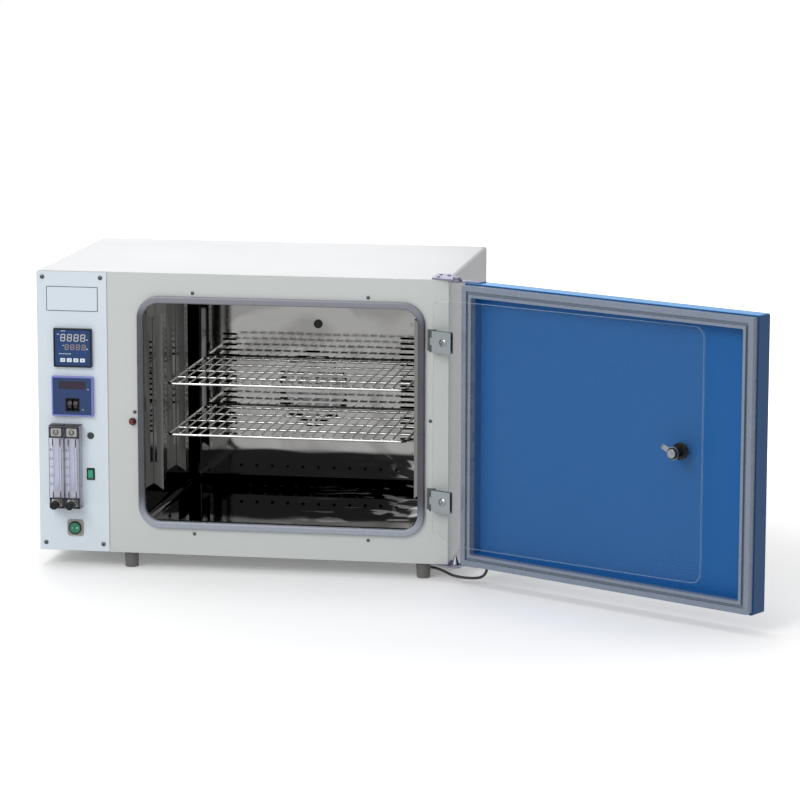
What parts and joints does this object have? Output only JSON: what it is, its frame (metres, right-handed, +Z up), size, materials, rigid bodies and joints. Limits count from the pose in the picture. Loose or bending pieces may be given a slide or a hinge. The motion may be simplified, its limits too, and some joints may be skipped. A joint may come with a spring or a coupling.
{
  "type": "benchtop carbon dioxide incubator",
  "caption": "Benchtop carbon dioxide incubator: heated steel chamber with wire shelves, an inner glass door with a turn latch, a blue-lined outer door and an instrument panel",
  "frame": {"origin": "The middle of the bench area that the object covers with both doors open as stored, at the height of the bench (under the feet)", "axes": "+Z up, -Y out of the cabinet's front, +X to the cabinet's right seen from the front, which is the side that both doors hinge on"},
  "size_m": [1.3644, 0.8384, 0.563],
  "materials": {
    "cover_paint": "light grey stoved paint, satin",
    "frame_paint": "warm light grey stoved paint, satin",
    "panel_paint": "pale blue-grey paint, satin",
    "polished_steel": "mirror polished stainless steel",
    "dull_steel": "rolled stainless steel, softly reflecting",
    "shelf_wire": "electropolished stainless wire",
    "bright_metal": "bright plated steel",
    "zinc": "zinc plated sheet",
    "mineral_wool": "matt mineral wool",
    "chamber_rubber": "grey silicone rubber",
    "door_rubber": "blue-grey magnetic rubber strip",
    "door_blue": "blue stoved paint, semi-gloss",
    "handle_metal": "satin aluminium",
    "black_plastic": "black moulded plastic, satin",
    "foot_rubber": "dark grey rubber",
    "lead_rubber": "black rubber sheath",
    "clear_glass": "clear toughened glass with a faint green edge",
    "clear_acrylic": "clear acrylic with a faint lilac tint",
    "nickel": "nickel plated brass",
    "controller_plastic": "dark blue-black moulded plastic",
    "lilac_plastic": "lilac moulded plastic",
    "white_plastic": "white moulded plastic",
    "grey_plastic": "grey moulded plastic",
    "green_plastic": "dark green glossy plastic",
    "red_plastic": "deep red glossy plastic",
    "lamp_lens": "dark green lens",
    "fan_metal": "bare aluminium",
    "motor_metal": "black enamel",
    "heater_metal": "heat-darkened steel tube",
    "board": "green glass-fibre board"
  },
  "bodies": {
    "cabinet": {"outer_cover": "cover_paint", "front_frame": "frame_paint", "base_plate": "cover_paint", "rear_panel": "cover_paint", "partition_wall": "frame_paint", "feet": "foot_rubber", "chamber_liner": "polished_steel", "insulation": "mineral_wool", "chamber_gasket": "chamber_rubber", "duct_panel": "polished_steel", "floor_plate": "polished_steel", "shelf_racks": "dull_steel", "sensor_port": "zinc", "fan_motor": "motor_metal", "air_heater": "heater_metal", "control_panel": "panel_paint", "temp_controller": "controller_plastic", "gas_controller": "lilac_plastic", "flowmeter_left": "clear_acrylic", "flowmeter_right": "clear_acrylic", "flowmeter_fittings": "nickel", "small_switch_frame": "black_plastic", "power_switch_plate": "grey_plastic", "pilot_lamp": "lamp_lens", "door_switch_ring": "bright_metal", "case_screws": "bright_metal", "gas_valve": "zinc", "control_board": "board", "gas_inlet": "handle_metal", "cable_glands": "black_plastic", "door_hinge_brackets": "bright_metal", "glass_hinge_leaves": "zinc"},
    "outer_door": {"door_shell": "door_blue", "door_inner_panel": "door_blue", "door_insulation": "mineral_wool", "door_gasket": "door_rubber", "door_handle": "handle_metal", "door_hinge_arms": "bright_metal", "door_lead": "lead_rubber"},
    "glass_door": {"glass_pane": "clear_glass", "glass_clips": "zinc", "clip_bolts": "zinc"},
    "latch": {"latch_knob": "black_plastic", "latch_cam": "zinc"},
    "upper_shelf": {"upper_shelf": "shelf_wire"},
    "lower_shelf": {"lower_shelf": "shelf_wire"},
    "fan": {"fan_impeller": "fan_metal"},
    "key_1": {"key_1": "white_plastic"},
    "key_2": {"key_2": "white_plastic"},
    "key_3": {"key_3": "white_plastic"},
    "key_4": {"key_4": "white_plastic"},
    "digit_wheel_left": {"digit_wheel_left": "black_plastic"},
    "digit_wheel_right": {"digit_wheel_right": "black_plastic"},
    "valve_knob_left": {"valve_knob_left": "black_plastic"},
    "valve_knob_right": {"valve_knob_right": "black_plastic"},
    "float_left": {"float_left": "red_plastic"},
    "float_right": {"float_right": "red_plastic"},
    "small_rocker": {"small_rocker": "green_plastic"},
    "power_rocker": {"power_rocker": "green_plastic"},
    "door_switch_plunger": {"door_switch_plunger": "red_plastic"}
  },
  "joints": [
    {"name": "outer_door_hinge", "type": "hinge", "parent": "cabinet", "child": "outer_door", "pos_m": [0.10279, -0.09683, 0.29], "axis": [0, 0, 1], "range_deg": [-150.5, 6], "deforming": ["door_lead"]},
    {"name": "glass_door_hinge", "type": "hinge", "parent": "cabinet", "child": "glass_door", "pos_m": [0.05779, -0.10363, 0.29], "axis": [0, 0, 1], "range_deg": [-153.51, 6.13]},
    {"name": "latch_turn", "type": "hinge", "parent": "glass_door", "child": "latch", "pos_m": [0.52629, -0.33721, 0.301], "axis": [-0.4462, -0.8949, 0], "range_deg": [-153, 27]},
    {"name": "upper_shelf_slide", "type": "slide", "parent": "cabinet", "child": "upper_shelf", "axis": [0, -1, 0], "range_m": [0, 0.285]},
    {"name": "lower_shelf_slide", "type": "slide", "parent": "cabinet", "child": "lower_shelf", "axis": [0, -1, 0], "range_m": [0, 0.285]},
    {"name": "fan_spin", "type": "hinge", "parent": "cabinet", "child": "fan", "pos_m": [-0.23371, 0.30617, 0.286], "axis": [0, -1, 0], "continuous": true},
    {"name": "key_1_press", "type": "slide", "parent": "cabinet", "child": "key_1", "axis": [0, 1, 0], "range_m": [0, 0.0008], "stiffness_N_per_m": 500, "springref_m": -0.001},
    {"name": "key_2_press", "type": "slide", "parent": "cabinet", "child": "key_2", "axis": [0, 1, 0], "range_m": [0, 0.0008], "stiffness_N_per_m": 500, "springref_m": -0.001},
    {"name": "key_3_press", "type": "slide", "parent": "cabinet", "child": "key_3", "axis": [0, 1, 0], "range_m": [0, 0.0008], "stiffness_N_per_m": 500, "springref_m": -0.001},
    {"name": "key_4_press", "type": "slide", "parent": "cabinet", "child": "key_4", "axis": [0, 1, 0], "range_m": [0, 0.0008], "stiffness_N_per_m": 500, "springref_m": -0.001},
    {"name": "digit_wheel_left_turn", "type": "hinge", "parent": "cabinet", "child": "digit_wheel_left", "pos_m": [-0.61971, -0.08693, 0.307], "axis": [1, 0, 0], "continuous": true},
    {"name": "digit_wheel_right_turn", "type": "hinge", "parent": "cabinet", "child": "digit_wheel_right", "pos_m": [-0.60871, -0.08693, 0.307], "axis": [1, 0, 0], "continuous": true},
    {"name": "valve_left_turn", "type": "hinge", "parent": "cabinet", "child": "valve_knob_left", "pos_m": [-0.64221, -0.12783, 0.1235], "axis": [0, -1, 0], "range_deg": [-1080, 360]},
    {"name": "float_left_rise", "type": "slide", "parent": "cabinet", "child": "float_left", "axis": [0, 0, 1], "range_m": [0, 0.072]},
    {"name": "valve_right_turn", "type": "hinge", "parent": "cabinet", "child": "valve_knob_right", "pos_m": [-0.61241, -0.12783, 0.1235], "axis": [0, -1, 0], "range_deg": [-1080, 360]},
    {"name": "float_right_rise", "type": "slide", "parent": "cabinet", "child": "float_right", "axis": [0, 0, 1], "range_m": [0, 0.072]},
    {"name": "small_rocker_tip", "type": "hinge", "parent": "cabinet", "child": "small_rocker", "pos_m": [-0.58261, -0.09153, 0.177], "axis": [1, 0, 0], "range_deg": [-14, 0]},
    {"name": "power_rocker_tip", "type": "hinge", "parent": "cabinet", "child": "power_rocker", "pos_m": [-0.61331, -0.09403, 0.0745], "axis": [1, 0, 0], "range_deg": [-14, 0]},
    {"name": "door_switch_press", "type": "slide", "parent": "cabinet", "child": "door_switch_plunger", "axis": [0, 1, 0], "range_m": [0, 0.006], "stiffness_N_per_m": 150, "springref_m": -0.004}
  ],
  "couplings": [
    {"joint": "glass_door_hinge", "follows": "outer_door_hinge", "ratio": 1.0199}
  ]
}
